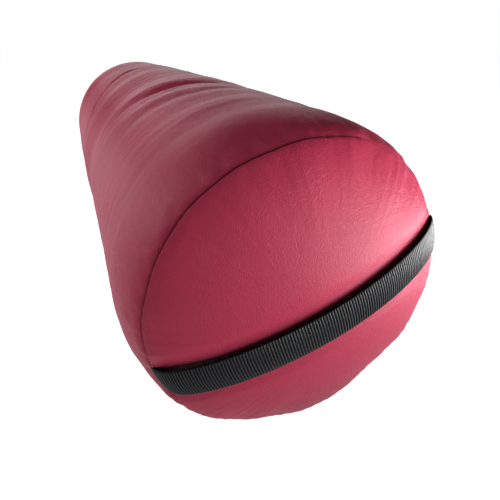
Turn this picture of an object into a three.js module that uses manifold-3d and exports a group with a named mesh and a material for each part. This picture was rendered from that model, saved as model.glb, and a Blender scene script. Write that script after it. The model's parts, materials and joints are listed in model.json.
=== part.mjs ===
// Full-round massage bolster: a stuffed cylinder in a faux leather cover, with a webbing handle sewn
// across its front end and a zip along its lower side.
// Millimetres. +X runs along the bolster to the end with the handle, +Z is up, and the origin is on the
// surface it lies on, under the middle of its bounding box.
import * as THREE from "three";
import { mergeVertices } from "three/addons/utils/BufferGeometryUtils.js";
import Module from "manifold-3d";

const wasm = await Module();
wasm.setup();

// Cover
const TUBE_RADIUS = 104;
const SEAM_RADIUS = 93; // the round end seams are drawn in from the tube
const HALF_LENGTH = 305; // middle to each end seam
const SHOULDER = 45; // length over which the tube rolls in to its seam
const DOME_RISE = 23; // how far each end panel bulges from its sewn edge
const DOME_POWER = 1.36; // fullness of the bulge
const LEATHER = 1.2;
const ALLOWANCE = 10; // sewn edges turned in towards the axis
const THREAD_RADIUS = 0.5;
const THREAD_INSET = 3.5; // from the seam's edge
const THREAD_CLEAR = 0.4;
const REST_SAG = 5.2; // how far the underside is pressed flat by the surface

// Handle
const WEB_WIDTH = 21;
const WEB_THICK = 1.6;
const HANDLE_TILT = THREE.MathUtils.degToRad(18.8); // its chord against the horizontal
const HANDLE_LIFT = 3; // hand room between webbing and end panel
const HANDLE_POWER = 1.2; // nearly the bulge of the end panel, a little fuller
const HANDLE_ROOT = 1.5; // where the arch leaves the seam, in front of it
const HANDLE_CLEAR = 1.3; // its ends stand this far off the end panel

// Filling
const LINER = 0.8;
const WADDING = 7;
const FILLING_RADIUS = 102.3;
const FILLING_END = 81; // radius of the liner's end seams
const FILLING_HALF = HALF_LENGTH - 6;
const FILLING_RISE = 28;
const FILLING_GAP = 1.4; // between its layers
const ZIP_SAG = 3.8; // the filling is pressed flat behind the zip

// Zip, in its own frame: x along the bolster, y across the zip and down, z out from the bolster's axis
const ZIP_ANGLE = THREE.MathUtils.degToRad(35); // below the horizontal, on the +Y side
const ZIP_HALF = 220;
const TAPE_WIDTH = 13.8;
const TAPE_THICK = 0.7;
const TAPE_FACE = 101.3;
const TAPE_TAIL = 14; // tape past the last tooth, under the cover
const PARTING = 0.6; // half the space between the two sides of the zip
const COIL_WIDTH = 2.3;
const COIL_TOP = 103.9;
const STOP_TOP = 104.1;
const SLOT_HALF_WIDTH = 6.5; // of the opening between the cover's folded edges
const SLOT_SPARE = 2.5; // opening past each stop
const STOP_LENGTH = 3.5;
const STOP_PROUD = 0.5; // how far the stops stand out beside the teeth
const STITCH_INSET = 2; // from the folded edge to the stitch row
const STITCH_WIDTH = 0.6;
const SLIDER_LENGTH = 16;
const SLIDER_WIDTH = 10;
const SLIDER_TOP = 105.7;
const SLIDER_WALL = 1.2; // its lower plate
const SLIDER_NECK = 5; // its straight front stretch
const SLIDER_REST = 1; // from the closed slider to the end of the teeth
const FLANGE = 0.5;
const POST_HALF_WIDTH = 0.3; // it runs between the two tapes
const RUNNING = 0.5; // between the slider and what it runs on
const BAIL_RADIUS = 4.1;
const BAIL_WIDTH = 2.4;
const BAIL_SLIM = [0.8, 1, 0.66]; // the bridge is lower than it is long
const PULL_AXIS = 107.2;
const PULL_LENGTH = 23;
const PULL_HALF_WIDTHS = { eye: 3.3, waist: 2.6, grip: 3.6 };
const PULL_HEAD = 6; // length of the stretch with the eye
const PULL_WAIST = 9;
const PULL_RIM = 0.8; // from the hinge line to the pull's end and to its eye
const PULL_EYE_HALF_WIDTH = 2;
const PULL_THICK = 1.2;

const GAP = 0.3; // between pieces that touch
const SEAM_OPEN = WEB_THICK / 2 + GAP; // half the room that the handle's tails take in the seam
const AROUND = 40; // facets round the bolster
const COVER_STEPS = 6; // points on each rounded stretch of an outline
const FILLING_STEPS = 4;
const AXIS_HEIGHT = TUBE_RADIUS - REST_SAG;
const FRONT = HALF_LENGTH + SEAM_OPEN + DOME_RISE + HANDLE_LIFT + WEB_THICK;
const BACK = HALF_LENGTH + SEAM_OPEN + DOME_RISE;

const FINISH = {
  leather: { color: "#963449", roughness: 0.42, metalness: 0 },
  webbing: { color: "#232427", roughness: 0.7, metalness: 0 },
  thread: { color: "#6d2436", roughness: 0.6, metalness: 0 },
  tape: { color: "#1f1f22", roughness: 0.85, metalness: 0 },
  nylon: { color: "#2c2c30", roughness: 0.45, metalness: 0 },
  metal: { color: "#8b8d90", roughness: 0.35, metalness: 1 },
  liner: { color: "#e9e6df", roughness: 0.9, metalness: 0 },
  wadding: { color: "#f3f2ee", roughness: 1, metalness: 0 },
  foam: { color: "#e8d9a8", roughness: 0.95, metalness: 0 },
};

function piece(name, geometry, finish) {
  const mesh = new THREE.Mesh(geometry, new THREE.MeshStandardMaterial(FINISH[finish]));
  mesh.name = name;
  return mesh;
}

// Booleans

function toSolid(geometry) {
  const bare = geometry.clone();
  bare.deleteAttribute("normal");
  bare.deleteAttribute("uv");
  const merged = mergeVertices(bare, 1e-4);
  const vertProperties = merged.attributes.position.array;
  return new wasm.Manifold(
    new wasm.Mesh({ numProp: 3, vertProperties, triVerts: new Uint32Array(merged.index.array) }),
  );
}

function toGeometry(solid) {
  const mesh = solid.getMesh();
  const geometry = new THREE.BufferGeometry();
  geometry.setAttribute("position", new THREE.BufferAttribute(mesh.vertProperties, 3));
  geometry.setIndex(new THREE.BufferAttribute(mesh.triVerts, 1));
  geometry.computeVertexNormals();
  return geometry;
}

function join(first, ...rest) {
  return toGeometry(rest.reduce((whole, next) => whole.add(toSolid(next)), toSolid(first)));
}

function cut(first, ...rest) {
  return toGeometry(rest.reduce((whole, next) => whole.subtract(toSolid(next)), toSolid(first)));
}

// A box from its lowest to its highest corner.
function block(low, high) {
  const size = high.map((value, i) => value - low[i]);
  const middle = high.map((value, i) => (value + low[i]) / 2);
  return new THREE.BoxGeometry(...size).translate(...middle);
}

// Turned pieces

// One side of a stuffed tube: points from its back seam to its front seam, each with the full radius of
// the surface that it belongs to.
function tubeLine(radius, endRadius, half, steps) {
  const line = [];
  for (const end of [-1, 1]) {
    for (let i = 0; i <= steps; i++) {
      const turn = ((end < 0 ? i : steps - i) / steps) * (Math.PI / 2);
      const x = end * (half - SHOULDER * (1 - Math.cos(turn)));
      line.push({ x, r: endRadius + (radius - endRadius) * Math.sin(turn), layer: radius });
    }
  }
  return line;
}

// A bulged end panel's line, from its rim to its middle.
function domeLine(radius, base, rise, steps) {
  const line = [];
  for (let i = steps; i >= 0; i--) {
    const turn = (i / steps) * (Math.PI / 2);
    const bulge = i === steps ? 0 : Math.cos(turn) ** DOME_POWER;
    line.push({ x: base + rise * bulge, r: radius * Math.sin(turn) });
  }
  return line;
}

// Turns a line about the X axis, and presses it flat on the resting surface and behind the zip.
function turned(line) {
  const geometry = new THREE.LatheGeometry(
    line.map(({ x, r }) => new THREE.Vector2(r, x)),
    AROUND,
  ).rotateZ(-Math.PI / 2);
  const position = geometry.attributes.position;
  const out = { y: Math.cos(ZIP_ANGLE), z: -Math.sin(ZIP_ANGLE) };
  for (let i = 0; i < position.count; i++) {
    const { layer = TUBE_RADIUS } = line[i % line.length];
    let y = position.getY(i);
    let z = Math.max(position.getZ(i), REST_SAG - layer);
    const past = y * out.y + z * out.z - (layer - ZIP_SAG);
    if (layer <= FILLING_RADIUS && past > 0) {
      y -= past * out.y;
      z -= past * out.z;
    }
    position.setY(i, y);
    position.setZ(i, z);
  }
  return geometry;
}

// A layer of the tube between two radii, open at both ends.
function tubeLayer(radius, endRadius, half, thickness) {
  const surface = (inset) => tubeLine(radius - inset, endRadius - inset, half, FILLING_STEPS);
  const line = [...surface(0), ...surface(thickness).reverse()];
  return turned([...line, line[0]]);
}

// Cover

function coverTube() {
  const half = HALF_LENGTH - SEAM_OPEN;
  const edge = SEAM_RADIUS - ALLOWANCE;
  const turnedIn = (x) => ({ x, r: edge });
  const surface = (inset) =>
    tubeLine(TUBE_RADIUS - inset, SEAM_RADIUS - inset, half - inset, COVER_STEPS);
  const line = [
    turnedIn(-half),
    ...surface(0),
    turnedIn(half),
    turnedIn(half - LEATHER),
    ...surface(LEATHER).reverse(),
    turnedIn(LEATHER - half),
  ];
  const tube = turned([...line, line[0]]);
  const end = ZIP_HALF + STOP_LENGTH + SLOT_SPARE;
  const [inside, outside] = [TAPE_FACE - LEATHER, TUBE_RADIUS + LEATHER];
  const slot = block([-end, -SLOT_HALF_WIDTH, inside], [end, SLOT_HALF_WIDTH, outside]);
  return cut(tube, slot.rotateX(-Math.PI / 2 - ZIP_ANGLE));
}

function coverEnd() {
  const base = HALF_LENGTH + SEAM_OPEN;
  const edge = SEAM_RADIUS - ALLOWANCE;
  const surface = (inset) =>
    domeLine(SEAM_RADIUS - inset, base + inset, DOME_RISE - 2 * inset, COVER_STEPS + 2);
  const turnedIn = (x) => ({ x, r: edge });
  const line = [
    ...surface(LEATHER).reverse(),
    turnedIn(base + LEATHER),
    turnedIn(base),
    ...surface(0),
  ];
  return turned(line);
}

function seamThread() {
  const line = [];
  const sides = 6;
  const middle = HALF_LENGTH - SEAM_OPEN - LEATHER - THREAD_CLEAR - THREAD_RADIUS;
  for (let i = 0; i < sides; i++) {
    const turn = (i / sides) * Math.PI * 2;
    const x = middle + THREAD_RADIUS * Math.sin(turn);
    line.push({ x, r: SEAM_RADIUS - THREAD_INSET + THREAD_RADIUS * Math.cos(turn) });
  }
  return turned([...line, line[0]]);
}

// Filling

function linerEnd() {
  const base = FILLING_HALF + GAP;
  const surface = (inset) =>
    domeLine(FILLING_END - 0.5 - inset, base, FILLING_RISE - inset, FILLING_STEPS + 2);
  return turned([...surface(LINER).reverse(), ...surface(0)]);
}

function waddingEnd() {
  const base = FILLING_HALF + GAP + 0.1;
  const radius = FILLING_END - LINER - 1;
  const rise = FILLING_RISE - LINER - FILLING_GAP;
  return turned([{ x: base, r: 0 }, ...domeLine(radius, base, rise, FILLING_STEPS + 2)]);
}

function foamCore(inset) {
  const line = tubeLine(FILLING_RADIUS - inset, FILLING_END - inset, FILLING_HALF, FILLING_STEPS);
  const middle = (x) => ({ x, r: 0 });
  return turned([middle(-FILLING_HALF), ...line, middle(FILLING_HALF)]);
}

// Handle, in its own frame: x out from the seam, y along the chord, z across the webbing

function archLine(outset, steps = 30) {
  const line = [];
  const span = SEAM_RADIUS + HANDLE_CLEAR + outset;
  const rise = SEAM_OPEN + DOME_RISE + HANDLE_LIFT + outset;
  const root = Math.acos((HANDLE_ROOT / rise) ** (1 / HANDLE_POWER));
  for (let i = -steps / 2; i <= steps / 2; i++) {
    const turn = (i / (steps / 2)) * root;
    line.push(new THREE.Vector2(rise * Math.cos(turn) ** HANDLE_POWER, span * Math.sin(turn)));
  }
  return line;
}

function handleStrap() {
  const outline = new THREE.Shape([...archLine(WEB_THICK), ...archLine(0).reverse()]);
  const band = new THREE.ExtrudeGeometry(outline, { depth: WEB_WIDTH, bevelEnabled: false });
  return band.translate(0, 0, -WEB_WIDTH / 2);
}

// The sewn-in end of the webbing, between the two layers of the seam.
function strapTail(side) {
  const outer = Math.sqrt(SEAM_RADIUS ** 2 - (WEB_WIDTH / 2) ** 2) - 0.5;
  const inner = outer - ALLOWANCE;
  const [low, high] = side > 0 ? [inner, outer] : [-outer, -inner];
  return block([-WEB_THICK / 2, low, -WEB_WIDTH / 2], [WEB_THICK / 2, high, WEB_WIDTH / 2]);
}

// Zip

// A piece on one side of the zip, from y0 to y1 out from the parting line. side is -1 above, 1 below.
function beside(side, x0, x1, y0, y1, z0, z1) {
  const [low, high] = side > 0 ? [y0, y1] : [-y1, -y0];
  return block([x0, low, z0], [x1, high, z1]);
}

function zipTape(side) {
  const reach = ZIP_HALF + TAPE_TAIL;
  const near = PARTING + 0.1;
  return beside(side, -reach, reach, near, near + TAPE_WIDTH, TAPE_FACE - TAPE_THICK, TAPE_FACE);
}

function zipCoil(side) {
  return beside(side, -ZIP_HALF, ZIP_HALF, PARTING, PARTING + COIL_WIDTH, TAPE_FACE + GAP, COIL_TOP);
}

function zipTopStop(side) {
  const near = ZIP_HALF + GAP;
  const wide = PARTING + COIL_WIDTH + STOP_PROUD;
  return beside(side, near, near + STOP_LENGTH, PARTING, wide, TAPE_FACE + GAP, STOP_TOP);
}

function zipBottomStop() {
  const near = -ZIP_HALF - GAP;
  const wide = PARTING + COIL_WIDTH + STOP_PROUD;
  return block([near - STOP_LENGTH, -wide, TAPE_FACE + GAP], [near, wide, STOP_TOP]);
}

// The row of stitches that holds the cover's folded edge to the tape.
function zipStitch(side) {
  const across = SLOT_HALF_WIDTH + STITCH_INSET;
  const surface = Math.sqrt(TUBE_RADIUS ** 2 - across ** 2) + GAP;
  const end = ZIP_HALF + STOP_LENGTH;
  return beside(side, -end, end, across, across + STITCH_WIDTH, surface, surface + STITCH_WIDTH);
}

// A plate of the slider: a straight stretch at its front, rounded and a little narrower at its back.
function sliderPlate(low, high) {
  const half = SLIDER_LENGTH / 2;
  const wide = SLIDER_WIDTH / 2;
  const narrow = wide - 1;
  const corner = 1.5;
  const outline = new THREE.Shape();
  outline.moveTo(-half + corner, -narrow);
  outline.quadraticCurveTo(-half, -narrow, -half, 0);
  outline.quadraticCurveTo(-half, narrow, -half + corner, narrow);
  outline.lineTo(half - SLIDER_NECK, wide);
  outline.lineTo(half - corner, wide);
  outline.quadraticCurveTo(half, wide, half, wide - corner);
  outline.lineTo(half, corner - wide);
  outline.quadraticCurveTo(half, -wide, half - corner, -wide);
  outline.lineTo(half - SLIDER_NECK, -wide);
  const plate = new THREE.ExtrudeGeometry(outline, {
    depth: high - low,
    bevelEnabled: false,
    curveSegments: 4,
  });
  return plate.translate(0, 0, low);
}

// The bridge that the pull hangs on: a slim half round with a tunnel through it.
function sliderBail() {
  const half = 2 * BAIL_RADIUS;
  const crown = BAIL_WIDTH / 2;
  const round = new THREE.CylinderGeometry(BAIL_RADIUS, BAIL_RADIUS, BAIL_WIDTH, 24);
  const tunnel = block([-2, -half, SLIDER_TOP], [2, half, PULL_AXIS + crown + 0.2]);
  const below = block([-half, -half, PULL_AXIS - half], [half, half, SLIDER_TOP - 0.4]);
  return cut(round.scale(...BAIL_SLIM).translate(0, 0, PULL_AXIS), tunnel, below);
}

function zipSlider() {
  const half = SLIDER_LENGTH / 2;
  const channel = COIL_TOP + RUNNING;
  const beneath = TAPE_FACE - TAPE_THICK - RUNNING;
  const overlap = 0.2; // each wall runs a little way into the plates that it joins
  const inside = PARTING + COIL_WIDTH + RUNNING;
  const flanges = [-1, 1].map((side) =>
    beside(
      side,
      SLIDER_NECK / 2 - half,
      half - 1,
      inside,
      inside + FLANGE,
      TAPE_FACE + RUNNING,
      channel + overlap,
    ),
  );
  const lower = sliderPlate(beneath - SLIDER_WALL, beneath);
  const post = block(
    [half - SLIDER_NECK - 2, -POST_HALF_WIDTH, beneath - overlap],
    [half - 2, POST_HALF_WIDTH, channel + overlap],
  );
  return join(sliderPlate(channel, SLIDER_TOP), ...flanges, post, lower, sliderBail());
}

// The pull lies back along the closed zip, its eye looped under the slider's bridge.
function zipPull() {
  const { eye, waist, grip } = PULL_HALF_WIDTHS;
  const tip = -PULL_LENGTH;
  const round = 3;
  const outline = new THREE.Shape();
  outline.moveTo(PULL_RIM, -eye);
  outline.lineTo(PULL_RIM, eye);
  outline.lineTo(-PULL_HEAD, eye);
  outline.lineTo(-PULL_WAIST, waist);
  outline.lineTo(tip + round, grip);
  outline.quadraticCurveTo(tip, grip, tip, 0);
  outline.quadraticCurveTo(tip, -grip, tip + round, -grip);
  outline.lineTo(-PULL_WAIST, -waist);
  outline.lineTo(-PULL_HEAD, -eye);
  const far = PULL_RIM - PULL_HEAD;
  const hole = new THREE.Path();
  hole.moveTo(-PULL_RIM, -PULL_EYE_HALF_WIDTH);
  hole.lineTo(far, -PULL_EYE_HALF_WIDTH);
  hole.lineTo(far, PULL_EYE_HALF_WIDTH);
  hole.lineTo(-PULL_RIM, PULL_EYE_HALF_WIDTH);
  outline.holes.push(hole);
  const plate = new THREE.ExtrudeGeometry(outline, {
    depth: PULL_THICK,
    bevelEnabled: false,
    curveSegments: 5,
  });
  return plate.translate(0, 0, -PULL_THICK / 2);
}

// Assembly

function fillingPieces() {
  const inWadding = LINER + FILLING_GAP;
  const inFoam = inWadding + WADDING + FILLING_GAP;
  const wrapRadius = FILLING_RADIUS - inWadding;
  const wrapEnd = FILLING_END - inWadding;
  const pieces = [
    piece("foam_core", foamCore(inFoam), "foam"),
    piece("wadding_wrap", tubeLayer(wrapRadius, wrapEnd, FILLING_HALF, WADDING), "wadding"),
    piece("liner_sleeve", tubeLayer(FILLING_RADIUS, FILLING_END, FILLING_HALF, LINER), "liner"),
  ];
  for (const [end, turn] of [["front", 0], ["back", Math.PI]]) {
    const wadding = piece(`wadding_end_${end}`, waddingEnd(), "wadding");
    const liner = piece(`liner_end_${end}`, linerEnd(), "liner");
    wadding.rotation.z = turn;
    liner.rotation.z = turn;
    pieces.push(wadding, liner);
  }
  return pieces;
}

function coverPieces() {
  const pieces = [piece("cover_tube", coverTube(), "leather")];
  for (const [end, turn] of [["front", 0], ["back", Math.PI]]) {
    const panel = piece(`cover_end_${end}`, coverEnd(), "leather");
    const thread = piece(`seam_thread_${end}`, seamThread(), "thread");
    panel.rotation.z = turn;
    thread.rotation.z = turn;
    pieces.push(panel, thread);
  }
  return pieces;
}

function handlePieces() {
  const handle = new THREE.Group();
  handle.position.x = HALF_LENGTH;
  handle.rotation.x = HANDLE_TILT;
  handle.add(
    piece("handle_strap", handleStrap(), "webbing"),
    piece("strap_tail_left", strapTail(-1), "webbing"),
    piece("strap_tail_right", strapTail(1), "webbing"),
  );
  return handle;
}

function zipPieces() {
  const zip = new THREE.Group();
  zip.rotation.x = -Math.PI / 2 - ZIP_ANGLE;
  for (const [place, side] of [["upper", -1], ["lower", 1]]) {
    zip.add(
      piece(`zip_tape_${place}`, zipTape(side), "tape"),
      piece(`zip_coil_${place}`, zipCoil(side), "nylon"),
      piece(`zip_top_stop_${place}`, zipTopStop(side), "metal"),
      piece(`zip_stitch_${place}`, zipStitch(side), "thread"),
    );
  }
  const slider = piece("zip_slider", zipSlider(), "metal");
  const pull = piece("zip_pull", zipPull(), "metal");
  const closed = ZIP_HALF - SLIDER_LENGTH / 2 - SLIDER_REST;
  slider.position.x = closed;
  pull.position.set(closed, 0, PULL_AXIS);
  zip.add(piece("zip_bottom_stop", zipBottomStop(), "metal"), slider, pull);
  return zip;
}

const bolster = new THREE.Group();
bolster.position.set((BACK - FRONT) / 2, 0, AXIS_HEIGHT);
bolster.add(...fillingPieces(), ...coverPieces(), handlePieces(), zipPieces());

export default bolster;
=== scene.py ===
import json
import math

import bpy
import numpy as np
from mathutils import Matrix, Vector


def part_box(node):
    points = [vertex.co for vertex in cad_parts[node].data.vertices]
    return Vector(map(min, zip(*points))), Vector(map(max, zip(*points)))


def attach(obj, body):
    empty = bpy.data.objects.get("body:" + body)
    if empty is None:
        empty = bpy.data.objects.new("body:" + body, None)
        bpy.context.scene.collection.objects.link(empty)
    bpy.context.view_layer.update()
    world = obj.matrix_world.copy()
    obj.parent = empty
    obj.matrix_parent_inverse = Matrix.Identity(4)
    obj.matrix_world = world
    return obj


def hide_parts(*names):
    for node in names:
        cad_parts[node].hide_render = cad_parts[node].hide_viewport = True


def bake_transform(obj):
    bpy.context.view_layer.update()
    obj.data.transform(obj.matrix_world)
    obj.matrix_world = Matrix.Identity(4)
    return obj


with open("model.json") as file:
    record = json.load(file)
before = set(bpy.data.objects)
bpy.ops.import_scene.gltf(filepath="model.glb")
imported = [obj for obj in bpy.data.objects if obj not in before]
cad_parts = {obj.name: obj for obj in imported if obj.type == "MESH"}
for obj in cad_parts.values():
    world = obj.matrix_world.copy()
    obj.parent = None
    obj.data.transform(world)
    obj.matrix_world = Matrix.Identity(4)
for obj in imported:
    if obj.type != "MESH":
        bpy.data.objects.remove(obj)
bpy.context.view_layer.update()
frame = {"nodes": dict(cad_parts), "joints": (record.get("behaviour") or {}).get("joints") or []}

MM = 0.001

# Places and sizes from the frame

TUBE_LOW, TUBE_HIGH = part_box("cover_tube")
PANEL_LOW, PANEL_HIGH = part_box("cover_end_front")
BACK_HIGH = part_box("cover_end_back")[1]
TUBE_R = (TUBE_HIGH.y - TUBE_LOW.y) / 2
SEAM_R = (PANEL_HIGH.y - PANEL_LOW.y) / 2
AXIS_Z = (PANEL_HIGH.z + PANEL_LOW.z) / 2
FRONT_SEAM = (TUBE_HIGH.x + PANEL_LOW.x) / 2
BACK_SEAM = (TUBE_LOW.x + BACK_HIGH.x) / 2
MIDDLE = (FRONT_SEAM + BACK_SEAM) / 2
RISE = PANEL_HIGH.x - FRONT_SEAM
JOINTS = {j["name"]: j for j in frame["joints"]}
HANDLE_AXIS = Vector(JOINTS["handle_swing"]["axis"]).normalized()
HANDLE_TILT = math.atan2(HANDLE_AXIS.z, HANDLE_AXIS.y)
HANDLE_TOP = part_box("handle_strap")[1].x
ZIP_OUT = Vector((1, 0, 0)).cross(Vector(JOINTS["zip_pull_turn"]["axis"])).normalized()
ZIP_ANGLE = math.atan2(ZIP_OUT.z, ZIP_OUT.y)
ZIP_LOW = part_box("zip_coil_upper")[0].x
ZIP_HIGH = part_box("zip_coil_upper")[1].x


def zip_depth(*nodes):
    """How far the nodes' middle lies out from the bolster's axis, in the zip's direction."""
    middles = [sum(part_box(node), Vector()) / 2 - Vector((0, 0, AXIS_Z)) for node in nodes]
    return sum(middle.dot(ZIP_OUT) for middle in middles) / len(nodes)


COIL_MIDDLE = zip_depth("zip_coil_upper", "zip_coil_lower")
TAPE_MIDDLE = zip_depth("zip_tape_upper", "zip_tape_lower")

# Camera and light
CONTRAST = 0.8  # gamma of the picture
CAMERA_PLACE = (1.756, -1.107, 1.438)  # from the middle of the front seam, in radii of the seam
CAMERA_YAW = 157.36
CAMERA_PITCH = -27.88
CAMERA_LENS = 28.27
# Each row: name, azimuth and elevation in degrees as seen from the front seam, distance, width, height and
# radiance. Azimuth 0 is where the end with the handle looks, and 90 the side with the zip.
LIGHTS = [
    ("low_right_light", 24, 3, 1.2, 1.0, 0.36, 8.6),
    ("left_light", -120, 28, 1.2, 0.8, 0.7, 6.6),
    ("side_light", -152, 4, 1.6, 0.5, 0.35, 1.4),
    ("top_light", -95, 70, 1.2, 0.9, 0.9, 1.3),
    ("back_light", 168, 15, 2.5, 2.2, 0.4, 4.6),
]
GLOW_SIZE = (0.6, 0.5)
GLOW_RADIANCE = 38
GLOW_PLACE = (FRONT_SEAM + 0.36, 0.52, 0.01)
GLOW_TURN = 46

AROUND = 300  # columns of points round the bolster

# Cloth simulation
CLOTH_AROUND = 144  # points round the cloth
CLOTH_STEP = 5 * MM  # from ring to ring
CLOTH_NOISE = 0.2 * MM  # unevenness that starts the puckers
SPARE = 8 * MM  # how much wider than its seam the flat cloth is, as a radius
DRAW_FRAMES = 12  # the seams are drawn in until here
SIM_FRAMES = 20
PRESSURE = 100
CLOTH = {
    "quality": 6, "mass": 0.003, "tension_stiffness": 20, "compression_stiffness": 20, "shear_stiffness": 7,
    "bending_stiffness": 0.05, "tension_damping": 15, "compression_damping": 15, "shear_damping": 15,
    "air_damping": 5,
}
TUBE_PUCKER = 0.3  # share of the simulated puckers that is kept
PANEL_PUCKER = 0.10
TUBE_CAP = 4 * MM  # the most that a simulated pucker stands off
PANEL_CAP = 3 * MM
PANEL_RINGS = 19

# Cover
LEATHER = 1.2 * MM
LEATHER_DARK = (0.232, 0.0255, 0.0525)
LEATHER_LIGHT = (0.267, 0.030, 0.061)
SHOULDER = 45 * MM  # length over which the tube rolls in to a seam
SHOULDER_POWER = 1.8  # 2 would be an ellipse; less makes the crease at the seam sharper
LIP = 7 * MM  # sewn edges turned in towards the axis
SEAM_GAP = 0.2 * MM  # from the seam plane to each turned-in edge
STUFFED = 2.2 * MM  # how much fuller the tube is where it is stuffed most
STUFFED_AT = MIDDLE - 0.10
STUFFED_SPREAD = 0.17
SEAM_FADE = 26 * MM  # how far the strays of a seam reach into the tube
PANEL_FADE = 30 * MM  # and into an end panel
SLOPE_STEP = 0.5 * MM  # over which the outline's slope is taken
FOLDS_FROM = 4 * MM  # from a seam to where the folds start
FOLDS_FADE = 30 * MM
WRINKLE = 0.09 * MM
WRINKLES_FROM = 20 * MM
WRINKLES_FADE = 40 * MM
TUBE_RIPPLE = 0.16 * MM  # short gathers at a seam
TUBE_RIPPLE_REACH = 9 * MM
PANEL_RIPPLE = 0.08 * MM
PANEL_RIPPLE_REACH = 6 * MM
PANEL_SWELL = 0.5 * MM
PUCKER_REACH = 16 * MM  # how far an end panel's puckers reach in
PRESS = 1.0 * MM  # how far the end panel is pressed in under the webbing
PRESS_EDGE = 12 * MM  # and how far past the webbing's edges that goes
PRESS_FADE = 8 * MM
DOME_POWER = 1.6  # of the cosine that shapes an end panel: 1 is an ellipse, above 1 is lower near the rim
RIM_ROLL = 1.1 * MM  # round edge of an end panel
RIM_INSET = 0.4 * MM  # from the seam's radius in to where that edge starts
RIM_LIFT = 0.6 * MM  # how much fuller than its node an end panel is

# Handle
HANDLE_POWER = 1.36  # of the cosine that shapes its arch
WEB_WIDTH = 21 * MM
WEB_THICK = 1.6 * MM
RIB = 1.64 * MM  # pitch of the webbing's ribs
RIB_DEPTH = 0.6 * MM
RIB_STEPS = 8  # rings of points in one rib
WEB_CUP = 1.0 * MM  # how far its edges curl down to the panel
WEB_SLIP = 5 * MM  # how far its left end is pulled back along the bolster
WEB_SLIP_SPREAD = 0.14  # as a share of half the arch
WEB_PINCH = 0.10  # how much narrower it is at its left end
WEB_PINCH_REACH = 14 * MM
TAIL = 9 * MM  # length caught in the seam
TAIL_INSET = 2.6 * MM

# Zip and stitches
ZIP_PART = 5.2 * MM  # from the zip's middle line to each folded edge of leather
ZIP_CLOSED = 0.25 * MM  # the same past the zip's ends
ZIP_TAPER = 12 * MM  # length over which the edges part
EDGE_ROLL = 1.2 * MM  # radius of the folded edges
EDGE_LEAN = 0.45 * MM  # how far they come in over the zip
EDGE_TUCK = 1.4 * MM  # and how far they go in after that
STITCH_PITCH = 3.6 * MM
STITCH_GAP = 0.5 * MM
STITCH_ROW = 7.6 * MM  # from the zip's middle line
STITCH_OVER = 5 * MM  # how far the rows run past the coils
SEAM_STITCHES = 144  # round an end seam
COIL_PITCH = 1.5 * MM
COIL_WIRE = 0.3 * MM
TAPE_WIDTH = 13.6 * MM
TAPE_THICK = 0.5 * MM
TAPE_LIFT = 0.09 * MM  # of the tape's face over the middle of its node

# Filling: how deep under the cover's outside each layer lies, its thickness and how full it is
LINER, LINER_INSET, LINER_FILL = 0.8 * MM, 2.0 * MM, 0.85
WADDING, WADDING_INSET, WADDING_FILL = 8 * MM, 4.6 * MM, 0.7
FOAM_INSET, FOAM_FILL = 13.6 * MM, 0.9
FILLING_AROUND = 150
FILLING_REACH = SHOULDER * 0.35  # from each seam to where the sleeves of the filling end
CAP_AROUND = 120
CAP_RINGS = 39
CAP_POWER = 1.36
CAP_INSET = 0.3 * MM
ZIP_ROOM = 4.4 * MM  # how far the filling is pressed in behind the zip
FOAM_ROUND = 9 * MM  # length over which the foam's edges round over

# Folds round the girth. Each row: distance behind the front seam at 110 degrees round the tube and how far
# it has drifted at 150 degrees, both in mm; height in mm, below zero for a valley; half-width in mm; the
# angle where it is strongest and how far it spreads to each side, in degrees. The side with the zip is at 0
# degrees, the top at 90 and the other side at 180. Folds on the zip's side are placed at the angle where they
# are strongest, and drift that far in 90 degrees.
DRIFT_FROM, DRIFT_SPAN, SIDE_DRIFT_SPAN = 110, 40, 90
SIDE_FOLDS = 60  # folds that are strongest under this angle are on the zip's side
DRIFT_LIMITS = (-80, 160)
FOLD_WANDER = 2.5
FOLDS = [
    (52, 0, -0.9, 16, 100, 40),
    (80, 14, 0.45, 8, 104, 24),
    (98, 12, -0.35, 7, 108, 24),
    (121, 14, 0.55, 9, 110, 28),
    (138, 24, -0.5, 7, 108, 26),
    (156, 36, 1.3, 11, 114, 34),
    (190, 30, -2.2, 7, 102, 24),
    (209, 22, 1.6, 10, 112, 32),
    (266, -6, -3.0, 25, 132, 40),
    (318, -14, 1.6, 16, 134, 40),
    (372, -52, 2.2, 17, 134, 44),
    (397, -44, -2.7, 9, 132, 50),
    (414, -10, 1.0, 9, 120, 34),
    (432, -12, -0.6, 7, 124, 30),
    (448, -4, 0.9, 8, 130, 34),
    (466, 4, 1.4, 10, 128, 40),
    (514, 2, -3.0, 19, 140, 60),
    (558, 0, 1.7, 15, 146, 60),
    (95, 20, 0.8, 12, 20, 30),
    (150, -25, -1.4, 10, 28, 32),
    (232, 30, 1.1, 15, 40, 34),
    (330, -20, -1.5, 12, 24, 40),
    (352, -20, 1.2, 10, 24, 36),
    (440, 22, -1.6, 11, 34, 36),
    (500, 10, 1.2, 14, 20, 44),
    (170, -30, -1.3, 12, 208, 30),
    (300, 26, 1.2, 14, 214, 30),
    (420, -18, -1.4, 12, 205, 32),
]
# Broad swells and dents of the stuffing, in the same order without the drift.
SWELLS = [
    (45, -2.4, 60, 38, 34),
    (230, 1.2, 90, 95, 60),
    (420, 1.0, 90, 200, 70),
]
# Where the front seam strays along the bolster, and where it is drawn in or let out. Each row: angle in
# degrees, how far in mm, and half-width in degrees.
SEAM_SLIPS = [(199, -5.5, 9), (165, 2.0, 24), (105, 1.0, 20)]
SEAM_DRAWS = [
    (-28, 1.7, 8), (-54, -3.0, 15), (-83, 0.4, 8), (-108, -3.2, 13), (34, -1.2, 16), (72, 0.9, 13),
]


# Meshes

def new_object(name, data):
    obj = bpy.data.objects.new(name, data)
    bpy.context.scene.collection.objects.link(obj)
    return obj


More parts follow.
